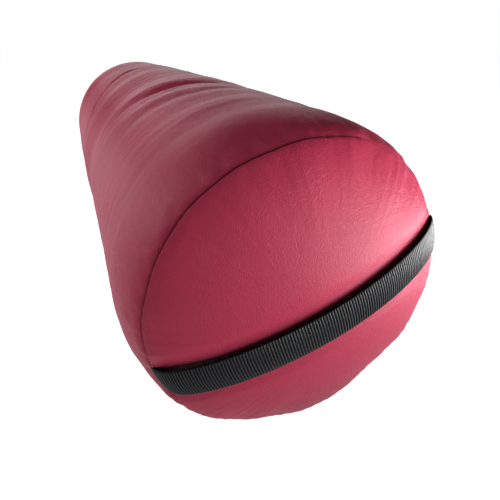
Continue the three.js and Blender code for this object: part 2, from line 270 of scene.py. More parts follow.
def new_mesh(name, vertices, faces):
    mesh = bpy.data.meshes.new(name)
    mesh.from_pydata(np.asarray(vertices, float).reshape(-1, 3).tolist(), [], faces)
    mesh.validate()
    mesh.polygons.foreach_set("use_smooth", [True] * len(mesh.polygons))
    mesh.update()
    return new_object(name, mesh)


def grid_faces(rows, columns, closed=False, start=0, flip=False):
    """Quads of a grid of points stored row by row. closed joins each row's last point to its first."""
    i, j = np.meshgrid(np.arange(rows - 1), np.arange(columns if closed else columns - 1), indexing="ij")
    after = (j + 1) % columns
    quads = [i * columns + j, (i + 1) * columns + j, (i + 1) * columns + after, i * columns + after]
    quads = np.stack(quads, -1).reshape(-1, 4) + start
    return (quads[:, ::-1] if flip else quads).tolist()


def fan(ring_start, columns, middle, outward):
    """Triangles from a ring of points to the one at its middle."""
    faces = [[ring_start + j, ring_start + (j + 1) % columns, middle] for j in range(columns)]
    return faces if outward else [face[::-1] for face in faces]


def end_faces(rows, columns):
    """The two faces that close the ends of a tube of rings."""
    last = (rows - 1) * columns
    return [list(range(columns))[::-1], list(range(last, last + columns))]


def girth(columns):
    """Angles of even columns round the girth."""
    return np.arange(columns)[None, :] / columns * 2 * math.pi


def smoothstep(t):
    t = np.clip(t, 0, 1)
    return t * t * (3 - 2 * t)


def waves(angle, counts, seed):
    """A ripple round the girth from a few whole-number waves, mostly between -1 and 1."""
    random = np.random.default_rng(seed)
    total = sum(np.cos(n * angle + random.uniform(0, 2 * math.pi)) for n in counts)
    return total / math.sqrt(len(counts)) / 1.4


def bump_at(angle, middle, spread):
    """1 at an angle round the girth, fading to 0 over the spread to each side. All in degrees."""
    away = (angle - middle + 180) % 360 - 180
    return np.exp(-((away / spread) ** 2))


def rest_on_floor(points):
    """Presses points softly flat on the floor, as the bolster's weight does."""
    softness = 1.4 * MM
    z = points[..., 2]
    points[..., 2] = (z + np.sqrt(z * z + softness * softness)) / 2
    return points


# The cover's outline, from the front seam to the back one

def outline():
    """The tube's side as a dense line: distance along the cloth, x and radius."""
    turn = np.linspace(0, math.pi / 2, 200)
    straight = 398
    front_x = FRONT_SEAM - SHOULDER * (1 - np.cos(turn))
    back_x = BACK_SEAM + SHOULDER * (1 - np.cos(turn[::-1]))
    x = np.concatenate([front_x, np.linspace(front_x[-1], back_x[0], straight + 2)[1:-1], back_x])
    rise = (1 - np.cos(turn) ** SHOULDER_POWER) ** (1 / SHOULDER_POWER)
    share = np.concatenate([rise, np.ones(straight), rise[::-1]])
    fuller = STUFFED * np.exp(-(((x - STUFFED_AT) / STUFFED_SPREAD) ** 2))
    radius = SEAM_R + (TUBE_R + fuller - SEAM_R) * share
    along = np.concatenate([[0], np.cumsum(np.hypot(np.diff(x), np.diff(radius)))])
    return along, x, radius


ALONG, OUTLINE_X, OUTLINE_R = outline()
LENGTH = ALONG[-1]


def outline_at(along):
    return np.interp(along, ALONG, OUTLINE_X), np.interp(along, ALONG, OUTLINE_R)


def normal_of(step_x, step_r):
    """The unit normal of a line in x and radius, to the left of its steps."""
    size = np.hypot(step_x, step_r)
    return -step_r / size, step_x / size


class Field:
    """Heights on an even grid over the cloth, along it and round the girth, read smoothly in between."""

    def __init__(self, heights, length):
        self.heights = heights
        self.length = length

    @staticmethod
    def weights(t):
        """The shares of the four points round a place, for a curve through all points."""
        return (
            (-t + 2 * t**2 - t**3) / 2,
            (2 - 5 * t**2 + 3 * t**3) / 2,
            (t + 4 * t**2 - 3 * t**3) / 2,
            (t**3 - t**2) / 2,
        )

    def read(self, along, angle):
        rows, columns = self.heights.shape
        u = np.clip(along / self.length, 0, 1) * (rows - 1)
        v = (angle / (2 * math.pi)) % 1 * columns
        i, j = np.floor(u).astype(int), np.floor(v).astype(int)
        total = 0
        for a, wa in enumerate(self.weights(u - i)):
            for b, wb in enumerate(self.weights(v - j)):
                row = np.clip(i + a - 1, 0, rows - 1)
                total = total + wa * wb * self.heights[row, (j + b - 1) % columns]
        return total


# Cloth simulation

def inflate(name, flat, drawn, held_rows, pressure, seed, closed_end=False):
    """Blows a flat cloth up while its edges are drawn in to their seams, and returns where it comes to rest.

    flat and drawn are grids of points, row by row round the girth. The cloth starts flat and keeps its flat
    lengths. The held rows move to their drawn places, so the spare cloth puckers.
    """
    rows, columns = flat.shape[:2]
    random = np.random.default_rng(seed)
    start = flat + random.normal(0, CLOTH_NOISE, flat.shape)
    held = [i * columns + j for i in held_rows for j in range(columns)]
    faces = grid_faces(rows, columns, closed=True)
    if closed_end:
        faces.append([(rows - 1) * columns + j for j in range(columns)])
    obj = new_mesh(name, start, faces)
    obj.shape_key_add(name="flat")
    key = obj.shape_key_add(name="drawn")
    key.data.foreach_set("co", drawn.reshape(-1))
    for frame_number, value in ((1, 0.0), (DRAW_FRAMES, 1.0)):
        key.value = value
        key.keyframe_insert("value", frame=frame_number)
    obj.vertex_groups.new(name="held").add(held, 1.0, "REPLACE")
    cloth = obj.modifiers.new("cloth", "CLOTH")
    settings = cloth.settings
    for key, value in CLOTH.items():
        setattr(settings, key, value)
    settings.use_pressure = True
    settings.uniform_pressure_force = pressure
    settings.effector_weights.gravity = 0
    settings.vertex_group_mass = "held"
    cloth.collision_settings.use_collision = False
    cloth.point_cache.frame_start = 1
    cloth.point_cache.frame_end = SIM_FRAMES
    scene = bpy.context.scene
    for frame_number in range(1, SIM_FRAMES + 1):
        scene.frame_set(frame_number)
    shape = obj.evaluated_get(bpy.context.evaluated_depsgraph_get()).to_mesh()
    rest = np.empty(len(shape.vertices) * 3)
    shape.vertices.foreach_get("co", rest)
    bpy.data.objects.remove(obj)
    scene.frame_set(1)
    return rest.reshape(rows, columns, 3)


def turned(x, radius, angle):
    """Points at each x and radius, at each angle round the bolster's axis."""
    x, radius = np.broadcast_arrays(np.asarray(x, float), np.asarray(radius, float))
    return np.stack([x + 0 * angle, radius * np.cos(angle), AXIS_Z + radius * np.sin(angle)], -1)


def puckers_of(rest, x, radius, cap):
    """How far a blown-up cloth stands off its smooth outline, less the mean of each ring."""
    normal_x, normal_r = normal_of(np.gradient(x), np.gradient(radius))
    moved_x = rest[..., 0] - x[:, None]
    moved_r = np.hypot(rest[..., 1], rest[..., 2] - AXIS_Z) - radius[:, None]
    height = moved_x * normal_x[:, None] + moved_r * normal_r[:, None]
    height -= height.mean(1, keepdims=True)
    return np.clip(height, -cap, cap)


def tube_puckers():
    """The spare cloth at both ends of the tube, gathered to the seams."""
    rows = int(LENGTH / CLOTH_STEP) + 1
    along = np.linspace(0, LENGTH, rows)
    angle = girth(CLOTH_AROUND)
    x, radius = outline_at(along)
    flat_x = MIDDLE + LENGTH / 2 - along
    flat_r = np.maximum(radius, SEAM_R + SPARE)
    flat = turned(flat_x[:, None], flat_r[:, None], angle)
    drawn = turned(x[:, None], radius[:, None], angle)
    rest = inflate("tube_cloth", flat, drawn, (0, rows - 1), PRESSURE, seed=3)
    return Field(-puckers_of(rest, x, radius, TUBE_CAP), LENGTH)


TUBE_PUCKERS = tube_puckers()


def panel_line(rise, count=70):
    """An end panel's line from its rolled rim to its middle: height over the seam plane, and radius."""
    turn = np.linspace(0, math.pi / 2, 8)
    roll_h = RIM_ROLL * (1 - np.cos(turn))
    roll_r = SEAM_R - RIM_INSET + RIM_ROLL * np.sin(turn)
    dome = np.linspace(math.pi / 2, 0, count)[1:]
    height = np.concatenate([roll_h, RIM_ROLL + (rise - RIM_ROLL) * np.cos(dome) ** DOME_POWER])
    return height, np.concatenate([roll_r, roll_r[-1] * np.sin(dome)])


def panel_puckers(seed):
    """The spare cloth at the rim of a round end panel. Read by the distance in from the rim."""
    columns = CLOTH_AROUND // 2
    reach = SEAM_R - 8 * MM  # the middle is left as a flat cap
    height, radius = panel_line(RISE)
    inward = np.linspace(0, reach, PANEL_RINGS)
    ring_r = SEAM_R - inward
    ring_h = np.interp(-ring_r, -radius, height)
    angle = girth(columns)
    flat = turned(FRONT_SEAM + 0 * inward[:, None], (ring_r + SPARE)[:, None], angle)
    drawn = turned((FRONT_SEAM + ring_h)[:, None], ring_r[:, None], angle)
    drawn[0, :, 0] = FRONT_SEAM
    rest = inflate("panel_cloth", flat, drawn, (0,), -PRESSURE, seed, closed_end=True)
    return Field(puckers_of(rest, FRONT_SEAM + ring_h, ring_r, PANEL_CAP), reach)


# The cover's shape

def girth_folds(x, angle):
    """How far the folds and swells lift or sink the tube, in metres."""
    distance = (FRONT_SEAM - x) / MM
    degrees = np.degrees(angle) % 360
    lift = np.zeros(np.broadcast(distance, degrees).shape)
    for at, drift, height, half_width, strongest, spread in FOLDS:
        start, span = (strongest, SIDE_DRIFT_SPAN) if strongest < SIDE_FOLDS else (DRIFT_FROM, DRIFT_SPAN)
        turn = np.clip((degrees - start + 180) % 360 - 180, *DRIFT_LIMITS)
        middle = at + drift * turn / span
        middle = middle + FOLD_WANDER * np.sin(np.radians(degrees) * 3 + at)
        shape = np.exp(-(((distance - middle) / half_width) ** 2))
        lift += height * shape * bump_at(degrees, strongest, spread)
    for at, height, half_width, strongest, spread in SWELLS:
        shape = np.exp(-(((distance - at) / half_width) ** 2))
        lift += height * shape * bump_at(degrees, strongest, spread)
    return lift * MM


def fine_wrinkles(x, angle, count=26):
    """Shallow wrinkles that mostly run round the girth, between about -1 and 1."""
    random = np.random.default_rng(41)
    total = 0
    for _ in range(count):
        length = random.uniform(9, 24) * MM
        turns = random.integers(-7, 8)
        phase = random.uniform(0, 2 * math.pi)
        total = total + np.cos(2 * math.pi * x / length + turns * angle + phase)
    return total / math.sqrt(count)


def seam_shape(angle, seed, slips, draws):
    """How an end seam strays from a flat circle: along the bolster and outwards, in metres."""
    along = 0.45 * MM * waves(angle, (4, 7, 11, 17), seed)
    along = along + 0.16 * MM * waves(angle, (71, 83, 97), seed + 1)
    outward = 0.4 * MM * waves(angle, (5, 9, 14, 19), seed + 2)
    outward = outward + 0.14 * MM * waves(angle, (67, 79, 101), seed + 3)
    degrees = np.degrees(angle)
    for middle, height, spread in slips:
        along = along + height * MM * bump_at(degrees, middle, spread)
    for middle, height, spread in draws:
        outward = outward + height * MM * bump_at(degrees, middle, spread)
    return along, outward


def seam_plane(front):
    """Where an end seam lies along the bolster, and which way its end looks."""
    return (FRONT_SEAM, 1) if front else (BACK_SEAM, -1)


def seam_at(front, angle):
    """The stray of the front seam, which follows the photo, or of the back one."""
    return seam_shape(angle, 51, SEAM_SLIPS, SEAM_DRAWS) if front else seam_shape(angle, 61, [], [])


def cover_surface(along, angle, out=0.0):
    """Points on the stuffed tube, or out from it, at distances along the cloth and angles round the girth."""
    along, angle = np.broadcast_arrays(np.asarray(along, float), np.asarray(angle, float))
    x, radius = outline_at(along)
    ahead_x, ahead_r = outline_at(np.clip(along + SLOPE_STEP, 0, LENGTH))
    behind_x, behind_r = outline_at(np.clip(along - SLOPE_STEP, 0, LENGTH))
    normal_x, normal_r = normal_of(behind_x - ahead_x, behind_r - ahead_r)
    from_seam = np.minimum(along, LENGTH - along)
    lift = girth_folds(x, angle) * smoothstep((from_seam - FOLDS_FROM) / FOLDS_FADE)
    lift += WRINKLE * fine_wrinkles(x, angle) * smoothstep((from_seam - WRINKLES_FROM) / WRINKLES_FADE)
    lift += TUBE_PUCKER * TUBE_PUCKERS.read(along, angle)
    short = TUBE_RIPPLE * waves(angle, (37, 46, 59), 71) * np.exp(-from_seam / TUBE_RIPPLE_REACH)
    lift += short * smoothstep(from_seam / (3 * MM))
    x = x + normal_x * (lift + out)
    radius = radius + normal_r * (lift + out)
    for front, distance in ((True, along), (False, LENGTH - along)):
        seam_x, seam_r = seam_at(front, angle)
        fade = np.exp(-((distance / SEAM_FADE) ** 2))
        x = x + seam_x * fade * (1 if front else -1)
        radius = radius + seam_r * fade
    return rest_on_floor(turned(x, radius, angle))


def lip_rows(x, radius, angle, rows=4):
    """A sewn edge that turns in towards the axis, from its inner end outwards."""
    return np.stack([turned(x, radius - LIP * (1 - i / rows), angle) for i in range(rows)])


def tube_lip(front, angle):
    seam, way = seam_plane(front)
    seam_x, seam_r = seam_at(front, angle)
    return lip_rows(seam - way * SEAM_GAP + way * seam_x, SEAM_R + seam_r, angle)


def sheet_angles(x, columns):
    """Angles across the tube's sheet, whose edges part at the zip and meet past its ends."""
    opened = smoothstep((x - ZIP_LOW + 10 * MM) / ZIP_TAPER) * smoothstep((ZIP_HIGH + 7 * MM - x) / ZIP_TAPER)
    gap = ZIP_CLOSED + ZIP_PART * opened
    share = np.linspace(0, 1, columns)
    delta = gap / TUBE_R
    return ZIP_ANGLE + delta + share * (2 * math.pi - 2 * delta)


def rolled_edge(edge, side, steps=4):
    """A long edge of the tube's sheet folded in over the zip, from outside to inside."""
    y, z = edge[:, 1], edge[:, 2] - AXIS_Z
    radius, at = np.hypot(y, z), np.arctan2(z, y)
    columns = []
    for step in range(1, steps + 2):
        turn = min(step, steps) / steps * math.pi / 2
        depth = EDGE_ROLL * (1 - math.cos(turn)) + (EDGE_TUCK if step > steps else 0)
        angle = at + side * EDGE_LEAN * math.sin(turn) / radius
        columns.append(turned(edge[:, 0], radius - depth, angle))
    return np.stack(columns, 1)


def cover_tube():
    """The cover's tube: one sheet rolled round, its long edges turned in at the zip."""
    near = np.concatenate([np.linspace(0, 12, 11)[1:], np.linspace(12, 52, 22)[1:]]) * MM
    middle = np.linspace(near[-1], LENGTH - near[-1], int((LENGTH - 2 * near[-1]) / (2.5 * MM)))[1:-1]
    along = np.concatenate([[0.0], near, middle, (LENGTH - near)[::-1], [LENGTH]])
    x = np.interp(along, ALONG, OUTLINE_X)
    angle = sheet_angles(x[:, None], AROUND)
    body = cover_surface(along[:, None], angle)
    sheet = np.concatenate([tube_lip(True, angle[0]), body, tube_lip(False, angle[-1])[::-1]])
    first = rolled_edge(sheet[:, 0], -1)
    last = rolled_edge(sheet[:, -1], 1)
    whole = np.concatenate([first[:, ::-1], sheet, last], 1)
    return new_mesh("cover_tube_leather", whole, grid_faces(*whole.shape[:2]))


def end_panel(name, front, field, seed):
    """A round end panel that bulges out from its seam, puckered at its rim."""
    seam, way = seam_plane(front)
    height, radius = panel_line(RISE + RIM_LIFT)
    angle = girth(AROUND)
    seam_x, seam_r = seam_at(front, angle)
    inward = (radius.max() - radius)[:, None]
    normal_h, normal_r = normal_of(np.gradient(height)[:, None], np.gradient(radius)[:, None])
    fade = np.exp(-((inward / PANEL_FADE) ** 2))
    lift = PANEL_PUCKER * field.read(inward, angle) * np.exp(-((inward / PUCKER_REACH) ** 2))
    short = PANEL_RIPPLE * waves(angle, (31, 43, 57, 66), seed) * np.exp(-inward / PANEL_RIPPLE_REACH)
    broad = PANEL_SWELL * waves(angle, (2, 3, 5), seed + 1) * smoothstep(inward / (20 * MM))
    broad = broad * (radius / SEAM_R)[:, None]
    above = smoothstep(height / (2.5 * MM))[:, None]
    lift = (lift + short + broad) * above
    if front:
        across = radius[:, None] * np.sin(angle - HANDLE_TILT)
        pressed = smoothstep((WEB_WIDTH / 2 + PRESS_EDGE - np.abs(across)) / PRESS_FADE)
        lift = lift * (1 - pressed) - PRESS * pressed * above
    h = height[:, None] + lift * normal_h + seam_x * fade + SEAM_GAP
    r = radius[:, None] + lift * normal_r + seam_r * fade
    body = turned(seam + way * h, r, angle)[:-1]
    lip = lip_rows(seam + way * (seam_x + SEAM_GAP), SEAM_R + seam_r - RIM_INSET, angle)[:, 0]
    rows = np.concatenate([lip, body])
    middle = [seam + way * (height[-1] + SEAM_GAP), 0, AXIS_Z]
    vertices = np.concatenate([rows.reshape(-1, 3), [middle]])
    count = rows.shape[0]
    faces = grid_faces(count, AROUND, closed=True, flip=front)
    faces += fan((count - 1) * AROUND, AROUND, count * AROUND, front)
    return new_mesh(name, rest_on_floor(vertices), faces)


def thicken(obj, thickness):
    solid = obj.modifiers.new("thickness", "SOLIDIFY")
    solid.thickness = thickness
    solid.offset = -1
    solid.use_even_offset = False
    return obj


# Handle

def handle_point(share, across, out):
    """A point on the handle: -1 to 1 over the arch, then across the webbing and out from the panel."""
    turn = share * math.pi / 2
    span = SEAM_R + 0.5 * MM + out
    rise = HANDLE_TOP - FRONT_SEAM - WEB_THICK + out
    x = rise * np.cos(turn) ** HANDLE_POWER - WEB_SLIP * np.exp(-(((share + 1) / WEB_SLIP_SPREAD) ** 2))
    y = span * np.sin(turn)
    c, s = math.cos(HANDLE_TILT), math.sin(HANDLE_TILT)
    return np.stack([FRONT_SEAM + x, y * c - across * s, AXIS_Z + y * s + across * c], -1)


def web_section(width, thick, side_steps=17):
    """Once round the webbing's section: across, height, and how much of the ribs' relief shows there."""
    half = (width - thick) / 2
    flat = np.linspace(-half, half, side_steps)
    across, height, relief = [], [], []
    for sign in (1, -1):
        for at in flat:
            across.append(sign * at)
            height.append(thick / 2 * (1 + sign))
            relief.append(sign)
        for i in range(1, 6):
            turn = i / 6 * math.pi
            across.append(sign * (half + thick / 2 * math.sin(turn)))
            height.append(thick / 2 * (1 + sign * math.cos(turn)))
            relief.append(sign * math.cos(turn) * 0.8)
    return np.array(across), np.array(height), np.array(relief)


def ribbed(name, place, length, narrowed=0.0):
    """Webbing with ribs across it. place gives its points. Its ridge attribute is 1 on the ribs."""
    count = int(length / (RIB / RIB_STEPS))
    arc = np.linspace(0, length, count)[:, None]
    across, height, relief = web_section(WEB_WIDTH, WEB_THICK - 0.3 * MM)
    rib = np.abs(np.sin(arc / RIB * math.pi))
    ripple = RIB_DEPTH * (rib - 0.7)
    scallop = 1 + 0.012 * rib
    pinch = 1 - narrowed * np.exp(-((arc / WEB_PINCH_REACH) ** 2))
    points = place(arc, across[None, :] * scallop * pinch, height[None, :] + ripple * relief[None, :])
    columns = len(across)
    obj = new_mesh(name, points, grid_faces(count, columns, closed=True) + end_faces(count, columns))
    # the ridge attribute is the mask for the painted shade between the ribs in the webbing's material
    ridge = rib * np.abs(relief)[None, :]
    obj.data.attributes.new("ridge", "FLOAT", "POINT").data.foreach_set("value", ridge.reshape(-1))
    return obj


def handle_webbing():
    fine = np.linspace(-0.9995, 0.9995, 6001)
    line = handle_point(fine, 0 * fine, 0 * fine)
    length = np.concatenate([[0], np.cumsum(np.linalg.norm(np.diff(line, axis=0), axis=1))])

    def place(arc, across, height):
        share = np.interp(arc, length, fine)
        cup = -WEB_CUP * (across / (WEB_WIDTH / 2)) ** 2
        return handle_point(share + 0 * across, across, height + cup)

    return ribbed("handle_webbing", place, length[-1], narrowed=WEB_PINCH)


def webbing_tail(name, side):
    """The end of the webbing inside the seam."""
    c, s = math.cos(HANDLE_TILT), math.sin(HANDLE_TILT)
    outer = SEAM_R - TAIL_INSET

    def place(arc, across, height):
        y = side * (outer - arc) + 0 * across
        x = FRONT_SEAM + height - WEB_THICK / 2 + 0 * arc
        return np.stack([x, y * c - across * s, AXIS_Z + y * s + across * c], -1)

    return ribbed(name, place, TAIL)


# Stitches, seam and zip

def tube_along(points, radius, sides=6):
    """Vertices and faces of a round thread along a line of points."""
    points = np.asarray(points, float)
    tangent = np.gradient(points, axis=0)
    tangent /= np.linalg.norm(tangent, axis=1, keepdims=True)
    helper = np.array([0.31, 0.52, 0.79])
    first = np.cross(tangent, helper)
    first /= np.linalg.norm(first, axis=1, keepdims=True)
    second = np.cross(tangent, first)
    turn = np.arange(sides) / sides * 2 * math.pi
    radius = np.broadcast_to(np.asarray(radius, float), (len(points),))[:, None, None]
    ring = first[:, None] * np.cos(turn)[None, :, None] + second[:, None] * np.sin(turn)[None, :, None]
    vertices = points[:, None] + radius * ring
    rows = len(points)
    return vertices.reshape(-1, 3), grid_faces(rows, sides, closed=True) + end_faces(rows, sides)


def joined(name, parts):
    """One mesh from many lists of vertices and faces."""
    vertices, faces, start = [], [], 0
    for part, quads in parts:
        vertices.append(part)
        faces += [[index + start for index in face] for face in quads]
        start += len(part)
    return new_mesh(name, np.concatenate(vertices), faces)


def stitch(low, high, out, radius=0.32 * MM):
    """One stitch, from hole to hole, bowed a little out of the leather."""
    share = np.linspace(0, 1, 7)[:, None]
    bow = np.sin(share * math.pi) ** 0.5
    points = low + (high - low) * share + out * (bow * 0.42 * MM - 0.25 * MM)
    thickness = radius * (0.55 + 0.45 * np.sin(share[:, 0] * math.pi) ** 0.4)
    return tube_along(points, thickness)


def zip_stitches(name, side):
    """The row of stitches beside the zip, on the leather."""
    angle = ZIP_ANGLE - side * STITCH_ROW / TUBE_R
    parts = []
    for x in np.arange(ZIP_LOW - STITCH_OVER, ZIP_HIGH + STITCH_OVER - STITCH_PITCH, STITCH_PITCH):
        places = (x + STITCH_GAP / 2, x + STITCH_PITCH - STITCH_GAP / 2)
        low, high = (cover_surface(np.interp(-at, -OUTLINE_X, ALONG), angle) for at in places)
        parts.append(stitch(low, high, np.array(ZIP_OUT)))
    return joined(name, parts)


def seam_stitches(name, front):
    """The lockstitch of an end seam, hidden in its turned-in edges."""
    seam, way = seam_plane(front)
    x = seam - way * (LEATHER + 0.9 * MM)
    radius = SEAM_R - 4.6 * MM
    parts = []
    for i in range(SEAM_STITCHES):
        angles = ((i + share) / SEAM_STITCHES * 2 * math.pi for share in (0.08, 0.92))
        low, high = (turned(x, radius, np.array(angle)) for angle in angles)
        parts.append(stitch(low, high, np.array([-way, 0, 0]), 0.28 * MM))
    return joined(name, parts)


def zip_point(x, across, out):
    """A point in the zip's frame: along, across and down, and out from the bolster's axis."""
    c, s = math.cos(ZIP_ANGLE), math.sin(ZIP_ANGLE)
    return np.stack(np.broadcast_arrays(x, out * c + across * s, AXIS_Z + out * s - across * c), -1)


def zip_coil(name, side):
    """One side's nylon coil: a helix of monofilament, its loops squeezed where they lock in the middle."""
    turns = int((ZIP_HIGH - ZIP_LOW) / COIL_PITCH)
    turn = np.linspace(0, turns, turns * 11) * 2 * math.pi
    x = ZIP_LOW + COIL_PITCH * (turn / (2 * math.pi) + (0.25 if side > 0 else 0.75))
    across = side * (1.2 * MM - 1.45 * MM * np.cos(turn))
    squeeze = 1 + 0.25 * np.cos(turn)
    out = COIL_MIDDLE + 0.85 * MM * np.sin(turn) * squeeze
    points = zip_point(np.clip(x, ZIP_LOW, ZIP_HIGH), across, out)
    return new_mesh(name, *tube_along(points, COIL_WIRE, 5))


def zip_tape(name, node, side):
    """A woven tape: a thin strip with a fine rib along it and a corded edge at the teeth."""
    low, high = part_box(node)
    near = 0.75 * MM
    across = np.linspace(0, TAPE_WIDTH, 29)
    ribs = 0.07 * MM * np.abs(np.sin(across / (1.1 * MM) * math.pi))
    cord = 0.14 * MM * np.exp(-(((across - 1.2 * MM) / (0.6 * MM)) ** 2))
    x = np.linspace(low.x, high.x, 235)
    face = TAPE_MIDDLE + TAPE_LIFT + ribs + cord
    sheet = zip_point(x[:, None], side * (near + across)[None, :], face[None, :])
    return thicken(new_mesh(name, sheet, grid_faces(len(x), len(across), flip=side < 0)), TAPE_THICK)


def cast(name, node, voxel=0.2 * MM):
    """A small die-cast piece: the node's shape with its edges rounded."""
    mesh = frame["nodes"][node].data.copy()
    mesh.name = name
    obj = new_object(name, mesh)
    remesh = obj.modifiers.new("fine", "REMESH")
    remesh.mode = "VOXEL"
    remesh.voxel_size = voxel
    remesh.use_smooth_shade = True
    soft = obj.modifiers.new("soft", "SMOOTH")
    soft.factor = 0.5
    soft.iterations = 4
    return obj


# Filling

def filling_layer(along, inset, end_inset, end_length):
    """Points on a layer at an even depth under the cover, deeper at its ends and flat behind the zip."""
    from_end = np.minimum(along - along[0], along[-1] - along)
    depth = inset + end_inset * np.exp(-((from_end / end_length) ** 2))
    points = cover_surface(along[:, None], girth(FILLING_AROUND), out=-depth[:, None])
    outward = np.array([math.cos(ZIP_ANGLE), math.sin(ZIP_ANGLE)])
    past = points[..., 1] * outward[0] + (points[..., 2] - AXIS_Z) * outward[1]
    past = np.maximum(past - (TUBE_R - inset - ZIP_ROOM), 0)
    points[..., 1:] -= past[..., None] * outward
    return points


def filling_sleeve(name, inset, end_inset, thickness):
    """A layer of the filling, that follows the cover from end to end of the stuffing."""
    along = np.linspace(FILLING_REACH, LENGTH - FILLING_REACH, 180)
    points = filling_layer(along, inset, end_inset, 16 * MM)
    return thicken(new_mesh(name, points, grid_faces(len(along), FILLING_AROUND, closed=True)), thickness)


def filling_end(name, node, front, thickness):
    """A domed end of the filling, under the end panel: a sheet, or solid when it has no thickness."""
    low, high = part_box(node)
    way = 1 if front else -1
    base, tip = (low.x, high.x) if front else (high.x, low.x)
    radius = (high.y - low.y) / 2 - CAP_INSET
    turn = np.linspace(math.pi / 2, 0, CAP_RINGS + 1)[:-1, None]
    angle = girth(CAP_AROUND)
    x = base + (tip - base) * np.cos(turn) ** CAP_POWER
    ripple = 0.25 * MM * waves(angle, (7, 12, 19), 81) * np.sin(turn) ** 6
    points = turned(x + way * ripple * 0.5, radius * np.sin(turn) + ripple, angle)
    vertices = np.concatenate([points.reshape(-1, 3), [[tip, 0, AXIS_Z]]])
    faces = grid_faces(CAP_RINGS, CAP_AROUND, closed=True, flip=front)
    faces += fan((CAP_RINGS - 1) * CAP_AROUND, CAP_AROUND, CAP_RINGS * CAP_AROUND, front)
    if thickness:
        return thicken(new_mesh(name, vertices, faces), thickness)
    rim = list(range(CAP_AROUND))
    faces.append(rim[::-1] if front else rim)
    return new_mesh(name, vertices, faces)


def foam_end(row, side):
    """Rings from the foam's edge in to the middle of its flat end."""
    middle = np.array([row[:, 0].mean(), 0, AXIS_Z])
    flat = 0.93  # share of the radius that is flat
    rings = []
    for share in (0.995, 0.975, flat, 0.8, 0.6, 0.4, 0.2):
        ring = middle + (row - middle) * share
        ring[:, 0] = row[:, 0] + side * 2.2 * MM * (1 - (max(share, flat) - flat) / (1 - flat)) ** 0.5
        rings.append(ring)
    return np.stack(rings)


def foam_core(inset):
    """The foam cylinder, with the edges of its flat ends rounded over."""
    start = FILLING_REACH + FOAM_ROUND
    points = filling_layer(np.linspace(start, LENGTH - start, 170), inset, 5 * MM, FOAM_ROUND)
    whole = np.concatenate([foam_end(points[0], 1)[::-1], points, foam_end(points[-1], -1)])
    rows = len(whole)
    faces = grid_faces(rows, FILLING_AROUND, closed=True) + end_faces(rows, FILLING_AROUND)
    return new_mesh("foam_filling", whole, faces)


# Materials

class Nodes:
    """Short calls for building a material's node tree."""

    def __init__(self, name):
        self.material = bpy.data.materials.new(name)
        self.material.use_nodes = True
        self.tree = self.material.node_tree
        self.shader = self.tree.nodes["Principled BSDF"]
        self.place = self.add("ShaderNodeTexCoord").outputs["Object"]

    def add(self, kind, inputs=None, **settings):
        node = self.tree.nodes.new(kind)
        for key, value in settings.items():
            setattr(node, key, value)
        for key, value in (inputs or {}).items():
            if isinstance(value, bpy.types.NodeSocket):
                self.tree.links.new(value, node.inputs[key])
            else:
                node.inputs[key].default_value = value
        return node

    def noise(self, scale, detail, **more):
        inputs = {"Vector": self.place, "Scale": scale, "Detail": detail, **more}
        return self.add("ShaderNodeTexNoise", inputs).outputs["Fac"]

    def scaled_sum(self, value, factor, plus):
        inputs = {0: value, 1: factor, 2: plus}
        return self.add("ShaderNodeMath", inputs, operation="MULTIPLY_ADD").outputs[0]

    def bump(self, height, strength, distance, **more):
        inputs = {"Height": height, "Strength": strength, "Distance": distance, **more}
        return self.add("ShaderNodeBump", inputs).outputs["Normal"]

    def ramp(self, value, stops):
        node = self.add("ShaderNodeValToRGB", {"Fac": value})
        elements = node.color_ramp.elements
        for i, (at, colour) in enumerate(stops):
            element = elements[i] if i < len(elements) else elements.new(at)
            element.position = at
            element.color = (*colour, 1)
        return node.outputs["Color"]

    def spread(self, value, low, high):
        node = self.add("ShaderNodeMapRange", {"Value": value, "To Min": low, "To Max": high})
        return node.outputs["Result"]

    def set(self, **inputs):
        names = {"color": "Base Color", "roughness": "Roughness", "metallic": "Metallic", "normal": "Normal",
                 "sheen": "Sheen Weight", "specular": "Specular IOR Level"}
        for key, value in inputs.items():
            socket = self.shader.inputs[names[key]]
            if isinstance(value, bpy.types.NodeSocket):
                self.tree.links.new(value, socket)
            else:
                socket.default_value = value
        return self.material


def leather():
    """Burgundy faux leather: a fine pebbled grain, small creases, and slow changes of tone and gloss."""
    n = Nodes("burgundy_leather")
    color = n.ramp(n.noise(9, 4, Roughness=0.55), [(0.3, LEATHER_DARK), (0.7, LEATHER_LIGHT)])
    bent = n.add("ShaderNodeTexNoise", {"Vector": n.place, "Scale": 500, "Detail": 2}).outputs["Color"]
    warped = n.add("ShaderNodeMixRGB", {"Fac": 0.0015, "Color1": n.place, "Color2": bent}).outputs[0]
    cells = n.add("ShaderNodeTexVoronoi", {"Vector": warped, "Scale": 850}, feature="DISTANCE_TO_EDGE")
    pebble = n.add("ShaderNodeMath", {0: cells.outputs["Distance"], 1: 0.3}, operation="MINIMUM").outputs[0]
    creases = n.noise(380, 5, Roughness=0.6)
    grain = n.bump(n.scaled_sum(creases, 0.5, pebble), 0.7, 0.0004)
    drape = n.bump(n.noise(60, 3), 0.12, 0.002, Normal=grain)
    return n.set(color=color, roughness=n.spread(creases, 0.40, 0.56), normal=drape, specular=0.15)


def webbing():
    """Black nylon webbing with painted shade: near black in the grooves between the ribs, lighter on the rib
    tops.
    """
    n = Nodes("black_webbing")
    ridge = n.add("ShaderNodeAttribute", attribute_name="ridge").outputs["Fac"]
    yarn = n.noise(900, 3)
    # painted shade: from near black in the grooves to the webbing's dark grey on the rib tops
    lit = n.scaled_sum(yarn, 0.35, ridge)
    color = n.ramp(lit, [(0.88, (0.0005, 0.0005, 0.0006)), (1.08, (0.030, 0.031, 0.034))])
    gloss = n.spread(yarn, 0.32, 0.48)
    return n.set(color=color, roughness=gloss, normal=n.bump(yarn, 0.5, 0.0003), specular=0.12)


